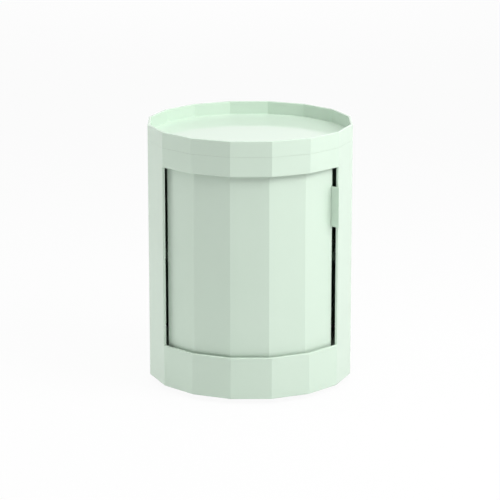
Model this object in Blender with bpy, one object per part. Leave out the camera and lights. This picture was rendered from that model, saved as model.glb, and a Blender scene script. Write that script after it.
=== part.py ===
"""Mobile storage cabinet: a faceted steel drum on hidden castors, with a tray top and a revolving door.

Metres, +Z up. The front faces -Y, and the origin is on the floor under the drum's axis.
"""

from math import cos, hypot, pi, radians, sin, tan

import bmesh
import bpy
from mathutils import Matrix, Vector

# Drum: facets, folds and the front opening
SIDES = 16  # facets round the drum
ACROSS_FLATS = 0.400  # outside, between two opposite facets
SHEET = 0.0015  # sheet steel of shell, tray, door, floor and shelf
FLOOR_CLEARANCE = 0.010  # skirt edge above the floor
SKIRT_RETURN = 0.0115  # depth of the fold along the skirt edge
TOP_FLANGE = 0.020  # width of the fold that the tray stands on
OPENING_FACETS = 5  # facets that the front opening takes
OPENING_HEIGHT = 0.357
OPENING_RETURN = 0.0049  # depth of the fold round the opening

# Tray top
TRAY_DEPTH = 0.026  # rim to tray floor
TRAY_STAND = 0.0035  # tray floor's underside above the shell
RIM_CAVITY = 0.002  # space between the rim's two walls
RIM_ROUND = 0.001  # rounding of the rim's edges
BOSS_DIAMETER = 0.014  # bosses under the tray, one for each screw
SCREW_DIAMETER = 0.005
SCREW_HEAD_DIAMETER = 0.0095
SCREW_HEAD_HEIGHT = 0.0025
SCREW_COUNT = 4

# Door, its pull and the way it runs
DOOR_LAP = 0.007  # door behind the opening's upper and lower edges
DOOR_RUN = 0.0027  # door corners to the fold round the opening
DOOR_FLANGE = 0.013  # depth of the folds round the door
DOOR_REST_TURN = 0.8  # degrees to the left that the closed door stands
DOOR_TRAVEL = 104.0  # degrees to the left that it opens
PULL_HEIGHT = 0.080
PULL_DROP = 0.0375  # pull below the opening's upper edge
PULL_INSET = 0.002  # pull inside the door's right edge
PULL_REACH = 0.0195  # pull in front of the door's face
PULL_FOOT = 0.022  # leg welded behind the door's face
PULL_SHEET = 0.0015
PULL_CORNER = 0.001
RAIL_SHEET = 0.002
GLIDE_HEIGHT = 0.010
GLIDE_WIDTH = 0.010
GLIDE_LENGTH = 0.026
GLIDE_WEB = 0.003  # glide between its slot and the door
GLIDE_PLAY = 0.0004  # slot to rail, each side
GLIDE_CLEARANCE = 0.0006  # foot glide above the floor, head rail above its slot
HEAD_SPACE = 0.0179  # head glides to the top plate
STOP_LENGTH = 0.010
STOP_DROP = 0.001  # stop's top below the glide's top

# Shelf on its posts
SHELF_HEIGHT = 0.190  # shelf top above the cabinet floor
SHELF_EDGE = 0.015  # turned-down edge of the shelf
SHELF_RUN = 0.004  # shelf corners to the door's folds
POST_ANGLES = (67.5, 135.0, -135.0, -67.5)  # degrees from the front
POST_DIAMETER = 0.012
POST_INSET = 0.020  # post axis inside the shelf's edge
POST_FOOT_DIAMETER = 0.024
POST_FOOT_HEIGHT = 0.002
POST_PLAY = 0.0005  # post to shelf, all round
COLLAR_DIAMETER = 0.020
COLLAR_HEIGHT = 0.010

# Castors and the pans that carry them
CASTER_ANGLES = (45.0, 135.0, -135.0, -45.0)  # degrees from the front
CASTER_HEADING = 90.0  # degrees from +X, the way the wheels trail
CASTER_CLEARANCE = 0.010  # turning castor to the skirt's fold
CASTER_TRAIL = 0.018  # swivel axis to axle
WHEEL_DIAMETER = 0.042
WHEEL_WIDTH = 0.018
WHEEL_SIDE_PLAY = 0.001
WHEEL_HEADROOM = 0.0112  # wheel to fork crown
TYRE_THICKNESS = 0.004
TYRE_ROUND = 0.003
HUB_RIM = 0.0037  # thickness of the hub's rim
HUB_BOSS_DIAMETER = 0.014
HUB_WEB = 0.010  # thickness of the web between boss and rim
HUB_LIP = 0.001  # tyre wider than the hub's rim, each side
AXLE_DIAMETER = 0.006
AXLE_HEAD_DIAMETER = 0.010
AXLE_HEAD = 0.0015
FORK_SHEET = 0.0025
FORK_CROWN = 0.028  # crown's length
FORK_END_RADIUS = 0.008  # round end of each leg
KINGPIN_DIAMETER = 0.008
KINGPIN_HEAD_DIAMETER = 0.013
KINGPIN_HEAD = 0.003
STEM_FLANGE_DIAMETER = 0.024
STEM_FLANGE = 0.003
STUD_TIP = 0.0015  # stud above its nut
NUT_HEIGHT = 0.0065
NUT_ACROSS_FLATS = 0.013
NUT_HEADROOM = 0.004  # stud tip to the cabinet floor
BASE_SHEET = 0.002
BASE_EDGE = 0.012  # turned-down edge of the base pan

# Clearances and facets of round pieces
GAP = 0.0003  # between pieces that touch
OVERCUT = 0.003  # cutters past the faces that they cut
OPENING_REACH = 0.030  # opening's cutter past the wall, both ways
CORNER_TRIM = 0.0002  # opening's sides past the drum's corners
ROUND_STEPS = 16
WHEEL_STEPS = 32
RAIL_STEPS = 80
GLIDE_STEPS = 4
BEVEL_STEPS = 3

# Levels, from the floor up
HALF_STEP = pi / SIDES
WHEEL_RADIUS = WHEEL_DIAMETER / 2
CROWN_BOTTOM = WHEEL_DIAMETER + WHEEL_HEADROOM
CROWN_TOP = CROWN_BOTTOM + FORK_SHEET
STEM_FLANGE_BOTTOM = CROWN_TOP + GAP
STEM_FLANGE_TOP = STEM_FLANGE_BOTTOM + STEM_FLANGE
BASE_BOTTOM = STEM_FLANGE_TOP + GAP
BASE_TOP = BASE_BOTTOM + BASE_SHEET
NUT_BOTTOM = BASE_TOP + GAP
STUD_TOP = NUT_BOTTOM + NUT_HEIGHT + STUD_TIP
FLOOR_BOTTOM = STUD_TOP + NUT_HEADROOM
FLOOR_TOP = FLOOR_BOTTOM + SHEET
FOOT_GLIDE_BOTTOM = FLOOR_TOP + GLIDE_CLEARANCE
FOOT_GLIDE_TOP = FOOT_GLIDE_BOTTOM + GLIDE_HEIGHT
FOOT_RAIL_TOP = FOOT_GLIDE_TOP - GLIDE_WEB - GAP
DOOR_BOTTOM = FOOT_GLIDE_TOP + GAP
OPENING_BOTTOM = DOOR_BOTTOM + DOOR_LAP
OPENING_TOP = OPENING_BOTTOM + OPENING_HEIGHT
DOOR_TOP = OPENING_TOP + DOOR_LAP
HEAD_GLIDE_BOTTOM = DOOR_TOP + GAP
HEAD_GLIDE_TOP = HEAD_GLIDE_BOTTOM + GLIDE_HEIGHT
HEAD_RAIL_BOTTOM = HEAD_GLIDE_BOTTOM + GLIDE_WEB + GLIDE_CLEARANCE
TOP_PLATE_BOTTOM = HEAD_GLIDE_TOP + HEAD_SPACE
TOP_PLATE_TOP = TOP_PLATE_BOTTOM + SHEET
FLANGE_BOTTOM = TOP_PLATE_TOP + GAP
SEAM = FLANGE_BOTTOM + SHEET
TRAY_BOTTOM = SEAM + GAP
TRAY_FLOOR_BOTTOM = SEAM + TRAY_STAND
TRAY_FLOOR = TRAY_FLOOR_BOTTOM + SHEET
RIM = TRAY_FLOOR + TRAY_DEPTH
PULL_TOP = OPENING_TOP - PULL_DROP
PULL_BOTTOM = PULL_TOP - PULL_HEIGHT
SHELF_TOP = FLOOR_TOP + SHELF_HEIGHT
SHELF_BOTTOM = SHELF_TOP - SHEET

# Distances from the axis. A flat is the distance to a facet's middle.
FLAT = ACROSS_FLATS / 2
PAN_FLAT = FLAT - SHEET - GAP
RETURN_FLAT = FLAT - OPENING_RETURN
DOOR_CORNER = RETURN_FLAT - DOOR_RUN
DOOR_FLAT = DOOR_CORNER * cos(HALF_STEP)
DOOR_HALF = DOOR_CORNER * sin(HALF_STEP)  # half a door facet's width
DOOR_INNER_FLAT = DOOR_FLAT - DOOR_FLANGE
RAIL_RADIUS = DOOR_FLAT - DOOR_FLANGE / 2
SHELF_FLAT = (hypot(DOOR_INNER_FLAT, DOOR_HALF) - SHELF_RUN) * cos(HALF_STEP)
POST_CIRCLE = SHELF_FLAT - POST_INSET
RIM_FLAT = FLAT - 2 * SHEET - RIM_CAVITY  # inside of the tray
SCREW_CIRCLE = FLAT - (SHEET + TOP_FLANGE) / 2
CASTER_CIRCLE = FLAT - SKIRT_RETURN - CASTER_CLEARANCE - CASTER_TRAIL - WHEEL_RADIUS
FORK_INSIDE = WHEEL_WIDTH / 2 + WHEEL_SIDE_PLAY
FORK_OUTSIDE = FORK_INSIDE + FORK_SHEET
HUB_RADIUS = WHEEL_RADIUS - TYRE_THICKNESS - GAP
DOOR_END_FACET = (OPENING_FACETS - 1) / 2
SIDE_FACET = (OPENING_FACETS + 1) / 2
GLIDE_TURN = GLIDE_LENGTH / 2 / RAIL_RADIUS  # half the angle that a glide takes

# Finishes: colour, roughness, metallic
COLOURS = {
    "mint_coat": ((0.60, 0.76, 0.63), 0.35, 0.0),
    "zinc_steel": ((0.56, 0.57, 0.58), 0.35, 1.0),
    "white_nylon": ((0.82, 0.82, 0.79), 0.45, 0.0),
    "grey_plastic": ((0.24, 0.25, 0.26), 0.45, 0.0),
    "black_rubber": ((0.03, 0.03, 0.03), 0.8, 0.0),
    "tyre_rubber": ((0.05, 0.05, 0.05), 0.7, 0.0),
}
FINISHES = {}


def clear_scene():
    for obj in list(bpy.data.objects):
        bpy.data.objects.remove(obj, do_unlink=True)


def make_finishes():
    for name, (colour, roughness, metallic) in COLOURS.items():
        material = bpy.data.materials.new(name)
        material.use_nodes = True
        shader = material.node_tree.nodes["Principled BSDF"]
        shader.inputs["Base Color"].default_value = (*colour, 1.0)
        shader.inputs["Roughness"].default_value = roughness
        shader.inputs["Metallic"].default_value = metallic
        FINISHES[name] = material


def add_object(name, bm, finish, parent=None):
    """Makes an object from a bmesh. With no finish it is a helper that only cuts or joins."""
    bmesh.ops.recalc_face_normals(bm, faces=bm.faces)
    mesh = bpy.data.meshes.new(name)
    bm.to_mesh(mesh)
    bm.free()
    obj = bpy.data.objects.new(name, mesh)
    bpy.context.scene.collection.objects.link(obj)
    obj.parent = parent
    if finish:
        mesh.materials.append(FINISHES[finish])
        mesh.shade_smooth()
        mesh.set_sharp_from_angle(angle=radians(20))
    else:
        obj.hide_render = True
        obj.display_type = "WIRE"
    return obj


def add_axis(name, location, turn):
    """An empty on a joint's axis, which the moving pieces are parented to."""
    axis = bpy.data.objects.new(name, None)
    axis.location = location
    axis.rotation_euler = (0, 0, turn)
    bpy.context.scene.collection.objects.link(axis)
    return axis


def combine(target, tool, operation):
    modifier = target.modifiers.new(tool.name, "BOOLEAN")
    modifier.object = tool
    modifier.operation = operation
    modifier.solver = "EXACT"


def outline_edges(bm, points, closed):
    verts = [bm.verts.new(point) for point in points]
    pairs = list(zip(verts, verts[1:]))
    if closed:
        pairs.append((verts[-1], verts[0]))
    return verts + [bm.edges.new(pair) for pair in pairs]


def turned(name, outline, finish, steps=ROUND_STEPS, start=0.0, closed=False, parent=None):
    """Turns an outline of (radius, height) about Z. An open outline gets flat ends."""
    bm = bmesh.new()
    points = [(r * cos(start), r * sin(start), z) for r, z in outline]
    geom = outline_edges(bm, points, closed)
    bmesh.ops.spin(
        bm, geom=geom, cent=(0, 0, 0), axis=(0, 0, 1), angle=2 * pi, steps=steps, use_merge=True
    )
    if not closed:
        bmesh.ops.holes_fill(bm, edges=[edge for edge in bm.edges if edge.is_boundary])
    return add_object(name, bm, finish, parent)


def faceted(name, outline, finish, closed=False):
    """As turned, with the drum's facets: the outline gives distances to the facets' middles."""
    corners = [(flat / cos(HALF_STEP), z) for flat, z in outline]
    return turned(name, corners, finish, SIDES, HALF_STEP - pi / 2, closed)


def arc_block(name, outline, finish, middle, half_turn, parent=None):
    """Sweeps an outline of (radius, height) about Z, to half_turn on both sides of middle."""
    bm = bmesh.new()
    start = middle - half_turn - pi / 2
    verts = [bm.verts.new((r * cos(start), r * sin(start), z)) for r, z in outline]
    face = bm.faces.new(verts)
    bmesh.ops.spin(
        bm, geom=[face], cent=(0, 0, 0), axis=(0, 0, 1), angle=2 * half_turn, steps=GLIDE_STEPS
    )
    return add_object(name, bm, finish, parent)


def prism_mesh(plan, bottom, top):
    bm = bmesh.new()
    face = bm.faces.new([bm.verts.new((x, y, bottom)) for x, y in plan])
    swept = bmesh.ops.extrude_face_region(bm, geom=[face])["geom"]
    moved = [item for item in swept if isinstance(item, bmesh.types.BMVert)]
    bmesh.ops.translate(bm, verts=moved, vec=(0, 0, top - bottom))
    return bm


def prism(name, plan, bottom, top, finish, parent=None):
    return add_object(name, prism_mesh(plan, bottom, top), finish, parent)


def rounds(name, points, diameter, bottom, top, parent=None):
    """Upright cylinders at the given places, in one helper."""
    bm = bmesh.new()
    for x, y in points:
        bmesh.ops.create_cone(
            bm,
            cap_ends=True,
            segments=ROUND_STEPS,
            radius1=diameter / 2,
            radius2=diameter / 2,
            depth=top - bottom,
            matrix=Matrix.Translation((x, y, (top + bottom) / 2)),
        )
    return add_object(name, bm, None, parent)


def drill(target, points, diameter, bottom, top):
    """Cuts upright round holes at the given places."""
    cutter = rounds(target.name + "_holes", points, diameter, bottom, top, target.parent)
    combine(target, cutter, "DIFFERENCE")


def around(radius, angles):
    """Places at angles in degrees from the front, counted towards the right-hand side."""
    return [(radius * sin(radians(a)), -radius * cos(radians(a))) for a in angles]


def on_facet(index, flat, along):
    """The place at this distance out and along on a facet, counted from the front to the right."""
    turn = 2 * HALF_STEP * index
    outward = Vector((sin(turn), -cos(turn)))
    sideways = Vector((cos(turn), sin(turn)))
    return tuple(outward * flat + sideways * along)


def door_line(flat, reach):
    """The door's line in plan, left to right, at this distance of its facets' middles."""
    corner = flat / cos(HALF_STEP)
    turns = [(k - DOOR_END_FACET + 0.5) * 2 * HALF_STEP for k in range(OPENING_FACETS - 1)]
    line = [on_facet(-DOOR_END_FACET, flat, -reach)]
    line += [(corner * sin(turn), -corner * cos(turn)) for turn in turns]
    line.append(on_facet(DOOR_END_FACET, flat, reach))
    return line


def quarter(centre, radius, first):
    """Points of a quarter circle that runs clockwise from the angle first, in degrees."""
    angles = [radians(first - 90 * k / BEVEL_STEPS) for k in range(BEVEL_STEPS + 1)]
    return [(centre[0] + radius * cos(a), centre[1] + radius * sin(a)) for a in angles]


def opening_plan(extra):
    """Plan of the front opening, whose sides stand square to the next facets."""
    along = CORNER_TRIM + extra - FLAT * tan(HALF_STEP)
    inner = on_facet(SIDE_FACET, FLAT - OPENING_REACH, along)
    outer = on_facet(SIDE_FACET, FLAT + OPENING_REACH, along)
    front = (outer[0], -FLAT - 2 * OPENING_REACH)
    right = [front, outer, inner]
    return right + [(-x, y) for x, y in reversed(right)]


def make_shell():
    wall = [
        (FLAT, SEAM),
        (FLAT, FLOOR_CLEARANCE),
        (FLAT - SKIRT_RETURN, FLOOR_CLEARANCE),
        (FLAT - SKIRT_RETURN, FLOOR_CLEARANCE + SHEET),
        (FLAT - SHEET, FLOOR_CLEARANCE + SHEET),
        (FLAT - SHEET, FLANGE_BOTTOM),
        (FLAT - TOP_FLANGE, FLANGE_BOTTOM),
        (FLAT - TOP_FLANGE, SEAM),
    ]
    shell = faceted("outer_shell", wall, "mint_coat", closed=True)
    low, high = OPENING_BOTTOM - SHEET, OPENING_TOP + SHEET
    mid_wall = FLAT - SHEET / 2
    ring = [(mid_wall, high), (mid_wall, low), (RETURN_FLAT, low), (RETURN_FLAT, high)]
    folds = faceted("opening_folds", ring, None, closed=True)
    front = prism("opening_front", opening_plan(SHEET), low - OVERCUT, high + OVERCUT, None)
    opening = prism("opening", opening_plan(0), OPENING_BOTTOM, OPENING_TOP, None)
    combine(folds, front, "INTERSECT")
    combine(shell, folds, "UNION")
    combine(shell, opening, "DIFFERENCE")
    drill(shell, screw_places(), SCREW_DIAMETER + 2 * GAP, FLANGE_BOTTOM - OVERCUT, SEAM + OVERCUT)


def screw_places():
    step = 360 / SCREW_COUNT
    return around(SCREW_CIRCLE, [step * (k + 0.5) for k in range(SCREW_COUNT)])


def make_tray():
    inner_edge = (RIM_FLAT + RIM_ROUND, RIM - RIM_ROUND)
    outer_edge = (FLAT - RIM_ROUND, RIM - RIM_ROUND)
    outline = [(RIM_FLAT, TRAY_FLOOR)]
    outline += quarter(inner_edge, RIM_ROUND, 180)
    outline += quarter(outer_edge, RIM_ROUND, 90)
    outline += [
        (FLAT, TRAY_BOTTOM),
        (FLAT - SHEET, TRAY_BOTTOM),
        (FLAT - SHEET, RIM - SHEET),
        (RIM_FLAT + SHEET, RIM - SHEET),
        (RIM_FLAT + SHEET, TRAY_FLOOR_BOTTOM),
    ]
    tray = faceted("top_tray", outline, "mint_coat")
    hole_top = TRAY_FLOOR_BOTTOM + SHEET / 4
    bosses = rounds("tray_bosses", screw_places(), BOSS_DIAMETER, TRAY_BOTTOM, hole_top + SHEET / 4)
    combine(tray, bosses, "UNION")
    drill(tray, screw_places(), SCREW_DIAMETER + 2 * GAP, TRAY_BOTTOM - OVERCUT, hole_top)
    head_top = TOP_PLATE_BOTTOM - GAP
    screw = [
        (SCREW_DIAMETER / 2, hole_top - GAP),
        (SCREW_DIAMETER / 2, head_top),
        (SCREW_HEAD_DIAMETER / 2, head_top),
        (SCREW_HEAD_DIAMETER / 2, head_top - SCREW_HEAD_HEIGHT),
    ]
    for number, (x, y) in enumerate(screw_places(), 1):
        piece = turned(f"tray_screw_{number}", screw, "zinc_steel")
        piece.location = (x, y, 0)


def make_pan(name, flat, top, sheet, edge_bottom):
    """A flat pan with its edge turned down."""
    outline = [
        (flat, top),
        (flat, edge_bottom),
        (flat - sheet, edge_bottom),
        (flat - sheet, top - sheet),
    ]
    return faceted(name, outline, "mint_coat")


def make_pans():
    outline = [(PAN_FLAT, TOP_PLATE_TOP), (PAN_FLAT, TOP_PLATE_BOTTOM)]
    plate = faceted("top_plate", outline, "mint_coat")
    hole = SCREW_DIAMETER + 2 * GAP
    drill(plate, screw_places(), hole, TOP_PLATE_BOTTOM - OVERCUT, TOP_PLATE_TOP + OVERCUT)
    make_pan("floor_pan", PAN_FLAT, FLOOR_TOP, SHEET, BASE_TOP + GAP)
    base = make_pan("base_pan", PAN_FLAT, BASE_TOP, BASE_SHEET, BASE_TOP - BASE_EDGE)
    studs = around(CASTER_CIRCLE, CASTER_ANGLES)
    drill(base, studs, KINGPIN_DIAMETER + 2 * GAP, BASE_BOTTOM - OVERCUT, BASE_TOP + OVERCUT)


def make_rails():
    inside, outside = RAIL_RADIUS - RAIL_SHEET / 2, RAIL_RADIUS + RAIL_SHEET / 2
    for name, bottom, top in (
        ("top_rail", HEAD_RAIL_BOTTOM, TOP_PLATE_BOTTOM - GAP),
        ("bottom_rail", FLOOR_TOP + GAP, FOOT_RAIL_TOP),
    ):
        outline = [(outside, top), (outside, bottom), (inside, bottom), (inside, top)]
        turned(name, outline, "zinc_steel", RAIL_STEPS, closed=True)


def saddle(solid_end, open_end, slot_end, play):
    """Outline of a block astride a rail, with its slot open at open_end."""
    inside, outside = RAIL_RADIUS - GLIDE_WIDTH / 2, RAIL_RADIUS + GLIDE_WIDTH / 2
    slot_in, slot_out = RAIL_RADIUS - RAIL_SHEET / 2 - play, RAIL_RADIUS + RAIL_SHEET / 2 + play
    return [
        (inside, solid_end),
        (outside, solid_end),
        (outside, open_end),
        (slot_out, open_end),
        (slot_out, slot_end),
        (slot_in, slot_end),
        (slot_in, open_end),
        (inside, open_end),
    ]


def make_stops():
    """Rubber stops on the lower rail, just past the foot glides at both ends of the travel."""
    outline = saddle(FOOT_GLIDE_TOP - STOP_DROP, FLOOR_TOP + GAP, FOOT_RAIL_TOP + GAP, GAP)
    half = STOP_LENGTH / 2 / RAIL_RADIUS
    past = 2 * HALF_STEP * DOOR_END_FACET + GLIDE_TURN + GAP / RAIL_RADIUS + half
    rest = radians(DOOR_REST_TURN)
    arc_block("stop_closed", outline, "black_rubber", past - rest, half)
    arc_block("stop_open", outline, "black_rubber", -past - rest - radians(DOOR_TRAVEL), half)


def make_door():
    axis = add_axis("door_axis", (0, 0, 0), -radians(DOOR_REST_TURN))
    plan = door_line(DOOR_FLAT, DOOR_HALF) + door_line(DOOR_INNER_FLAT, DOOR_HALF)[::-1]
    panel = prism("door_panel", plan, DOOR_BOTTOM, DOOR_TOP, "mint_coat", axis)
    reach = DOOR_HALF - SHEET
    plan = door_line(DOOR_FLAT - SHEET, reach) + door_line(DOOR_INNER_FLAT - OVERCUT, reach)[::-1]
    hollow = prism("door_hollow", plan, DOOR_BOTTOM + SHEET, DOOR_TOP - SHEET, None, axis)
    combine(panel, hollow, "DIFFERENCE")
    root = DOOR_HALF - PULL_INSET - PULL_SHEET - GAP
    notch = [
        on_facet(DOOR_END_FACET, DOOR_INNER_FLAT - OVERCUT, root),
        on_facet(DOOR_END_FACET, DOOR_FLAT + OVERCUT, root),
        on_facet(DOOR_END_FACET, DOOR_FLAT + OVERCUT, DOOR_HALF + OVERCUT),
        on_facet(DOOR_END_FACET, DOOR_INNER_FLAT - OVERCUT, DOOR_HALF + OVERCUT),
    ]
    cutter = prism("pull_notch", notch, PULL_BOTTOM - GAP, PULL_TOP + GAP, None, axis)
    combine(panel, cutter, "DIFFERENCE")
    make_pull(axis)
    foot = saddle(FOOT_GLIDE_TOP, FOOT_GLIDE_BOTTOM, FOOT_GLIDE_TOP - GLIDE_WEB, GLIDE_PLAY)
    head = saddle(HEAD_GLIDE_BOTTOM, HEAD_GLIDE_TOP, HEAD_GLIDE_BOTTOM + GLIDE_WEB, GLIDE_PLAY)
    for number, side in enumerate((-1, 1), 1):
        middle = side * 2 * HALF_STEP * DOOR_END_FACET
        arc_block(f"door_foot_glide_{number}", foot, "white_nylon", middle, GLIDE_TURN, axis)
        arc_block(f"door_head_glide_{number}", head, "white_nylon", middle, GLIDE_TURN, axis)


def make_pull(axis):
    """An angle plate: one leg welded behind the door's face, the other standing out as the pull."""
    face = DOOR_FLAT - SHEET - GAP
    back = face - PULL_SHEET
    tip = DOOR_FLAT + PULL_REACH
    outer = DOOR_HALF - PULL_INSET
    inner = outer - PULL_SHEET
    corners = [
        (back, outer - PULL_FOOT),
        (face, outer - PULL_FOOT),
        (face, inner),
        (tip, inner),
        (tip, outer),
        (back, outer),
    ]
    plan = [on_facet(DOOR_END_FACET, flat, along) for flat, along in corners]
    bm = prism_mesh(plan, PULL_BOTTOM, PULL_TOP)
    outward = Vector(on_facet(DOOR_END_FACET, 1, 0))
    tips = {vert for vert in bm.verts if vert.co.xy.dot(outward) > DOOR_FLAT + PULL_REACH / 2}
    edges = [
        edge
        for edge in bm.edges
        if set(edge.verts) <= tips and abs(edge.verts[0].co.z - edge.verts[1].co.z) < GAP
    ]
    bmesh.ops.bevel(
        bm, geom=edges, offset=PULL_CORNER, segments=BEVEL_STEPS, profile=0.5, affect="EDGES"
    )
    add_object("door_pull", bm, "mint_coat", axis)


def make_shelf():
    places = around(POST_CIRCLE, POST_ANGLES)
    shelf = make_pan("shelf", SHELF_FLAT, SHELF_TOP, SHEET, SHELF_TOP - SHELF_EDGE)
    hole = POST_DIAMETER + 2 * POST_PLAY
    drill(shelf, places, hole, SHELF_BOTTOM - OVERCUT, SHELF_TOP + OVERCUT)
    foot = FLOOR_TOP + GAP
    post = [
        (POST_DIAMETER / 2, TOP_PLATE_BOTTOM - GAP),
        (POST_DIAMETER / 2, foot + POST_FOOT_HEIGHT),
        (POST_FOOT_DIAMETER / 2, foot + POST_FOOT_HEIGHT),
        (POST_FOOT_DIAMETER / 2, foot),
    ]
    top = SHELF_BOTTOM - GAP
    bore = POST_DIAMETER / 2 + GAP
    collar = [
        (COLLAR_DIAMETER / 2, top),
        (COLLAR_DIAMETER / 2, top - COLLAR_HEIGHT),
        (bore, top - COLLAR_HEIGHT),
        (bore, top),
    ]
    for number, (x, y) in enumerate(places, 1):
        turned(f"shelf_post_{number}", post, "zinc_steel").location = (x, y, 0)
        turned(f"shelf_collar_{number}", collar, "zinc_steel", closed=True).location = (x, y, 0)


def make_stem(number, place):
    """Kingpin, flange and threaded stud in one, with the nut that holds it to the base pan."""
    pin, head = KINGPIN_DIAMETER / 2, KINGPIN_HEAD_DIAMETER / 2
    head_top = CROWN_BOTTOM - GAP
    outline = [
        (pin, STUD_TOP),
        (pin, STEM_FLANGE_TOP),
        (STEM_FLANGE_DIAMETER / 2, STEM_FLANGE_TOP),
        (STEM_FLANGE_DIAMETER / 2, STEM_FLANGE_BOTTOM),
        (pin, STEM_FLANGE_BOTTOM),
        (pin, head_top),
        (head, head_top),
        (head, head_top - KINGPIN_HEAD),
    ]
    turned(f"caster_stem_{number}", outline, "zinc_steel").location = (*place, 0)
    corner = NUT_ACROSS_FLATS / 2 / cos(pi / 6)
    plan = [(corner * cos(k * pi / 3), corner * sin(k * pi / 3)) for k in range(6)]
    nut = prism(f"caster_nut_{number}", plan, NUT_BOTTOM, NUT_BOTTOM + NUT_HEIGHT, "zinc_steel")
    nut.location = (*place, 0)
    bore = turned(
        f"nut_bore_{number}",
        [(pin + GAP, STUD_TOP + OVERCUT), (pin + GAP, NUT_BOTTOM - OVERCUT)],
        None,
    )
    bore.location = nut.location
    combine(nut, bore, "DIFFERENCE")


def make_fork(number, swivel):
    """A folded fork: a block drawn round the crown and the leg ends, slotted for the wheel."""
    bm = bmesh.new()
    half = FORK_CROWN / 2
    side = [(x, z) for x in (-half, half) for z in (CROWN_BOTTOM, CROWN_TOP)]
    for k in range(ROUND_STEPS):
        turn = 2 * pi * k / ROUND_STEPS
        end = (CASTER_TRAIL + FORK_END_RADIUS * cos(turn), WHEEL_RADIUS + FORK_END_RADIUS * sin(turn))
        side.append(end)
    points = [bm.verts.new((x, y, z)) for x, z in side for y in (-FORK_OUTSIDE, FORK_OUTSIDE)]
    hull = bmesh.ops.convex_hull(bm, input=points)
    bmesh.ops.delete(bm, geom=hull["geom_interior"], context="VERTS")
    fork = add_object(f"caster_fork_{number}", bm, "zinc_steel", swivel)
    reach = CASTER_TRAIL + FORK_CROWN
    plan = [
        (-reach, -FORK_INSIDE),
        (reach, -FORK_INSIDE),
        (reach, FORK_INSIDE),
        (-reach, FORK_INSIDE),
    ]
    slot = prism(f"fork_slot_{number}", plan, -OVERCUT, CROWN_BOTTOM, None, swivel)
    combine(fork, slot, "DIFFERENCE")
    drill(fork, [(0, 0)], KINGPIN_DIAMETER + 2 * GAP, CROWN_BOTTOM - OVERCUT, CROWN_TOP + OVERCUT)
    hole_radius = AXLE_DIAMETER / 2 + GAP
    length = FORK_OUTSIDE + OVERCUT
    bore = turned(f"axle_bore_{number}", [(hole_radius, length), (hole_radius, -length)], None)
    on_axle(bore, swivel)
    combine(fork, bore, "DIFFERENCE")


def on_axle(obj, swivel):
    """Lays a piece that was turned about Z along the axle."""
    obj.parent = swivel
    obj.location = (CASTER_TRAIL, 0, WHEEL_RADIUS)
    obj.rotation_euler = (pi / 2, 0, 0)


def make_axle(number, swivel):
    pin, head = AXLE_DIAMETER / 2, AXLE_HEAD_DIAMETER / 2
    inner = FORK_OUTSIDE + GAP
    outline = [
        (head, inner + AXLE_HEAD),
        (head, inner),
        (pin, inner),
        (pin, -inner),
        (head, -inner),
        (head, -inner - AXLE_HEAD),
    ]
    on_axle(turned(f"caster_axle_{number}", outline, "zinc_steel"), swivel)


def make_wheel(number, swivel):
    bore, boss = AXLE_DIAMETER / 2 + GAP, HUB_BOSS_DIAMETER / 2
    rim = HUB_RADIUS - HUB_RIM
    wide = WHEEL_WIDTH / 2
    hub_wide, web = wide - HUB_LIP, HUB_WEB / 2
    half = [(bore, wide), (boss, wide), (boss, web), (rim, web), (rim, hub_wide), (HUB_RADIUS, hub_wide)]
    outline = half + [(r, -z) for r, z in reversed(half)]
    hub = turned(f"caster_wheel_{number}", outline, "grey_plastic", WHEEL_STEPS, closed=True)
    on_axle(hub, swivel)
    seat, tread = HUB_RADIUS + GAP, WHEEL_RADIUS - TYRE_ROUND
    half = [(seat, hub_wide)] + quarter((tread, wide - TYRE_ROUND), TYRE_ROUND, 90)
    outline = half + [(r, -z) for r, z in reversed(half)]
    tyre = turned(f"caster_tyre_{number}", outline, "tyre_rubber", WHEEL_STEPS, closed=True)
    on_axle(tyre, swivel)


def make_casters():
    for number, place in enumerate(around(CASTER_CIRCLE, CASTER_ANGLES), 1):
        swivel = add_axis(f"caster_axis_{number}", (*place, 0), radians(CASTER_HEADING))
        make_stem(number, place)
        make_fork(number, swivel)
        make_axle(number, swivel)
        make_wheel(number, swivel)


clear_scene()
make_finishes()
make_shell()
make_tray()
make_pans()
make_rails()
make_stops()
make_door()
make_shelf()
make_casters()
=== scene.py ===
from math import asin, atan2, cos, hypot, pi, radians, sin, tan

import bmesh
import bpy
from mathutils import Matrix, Vector


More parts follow.
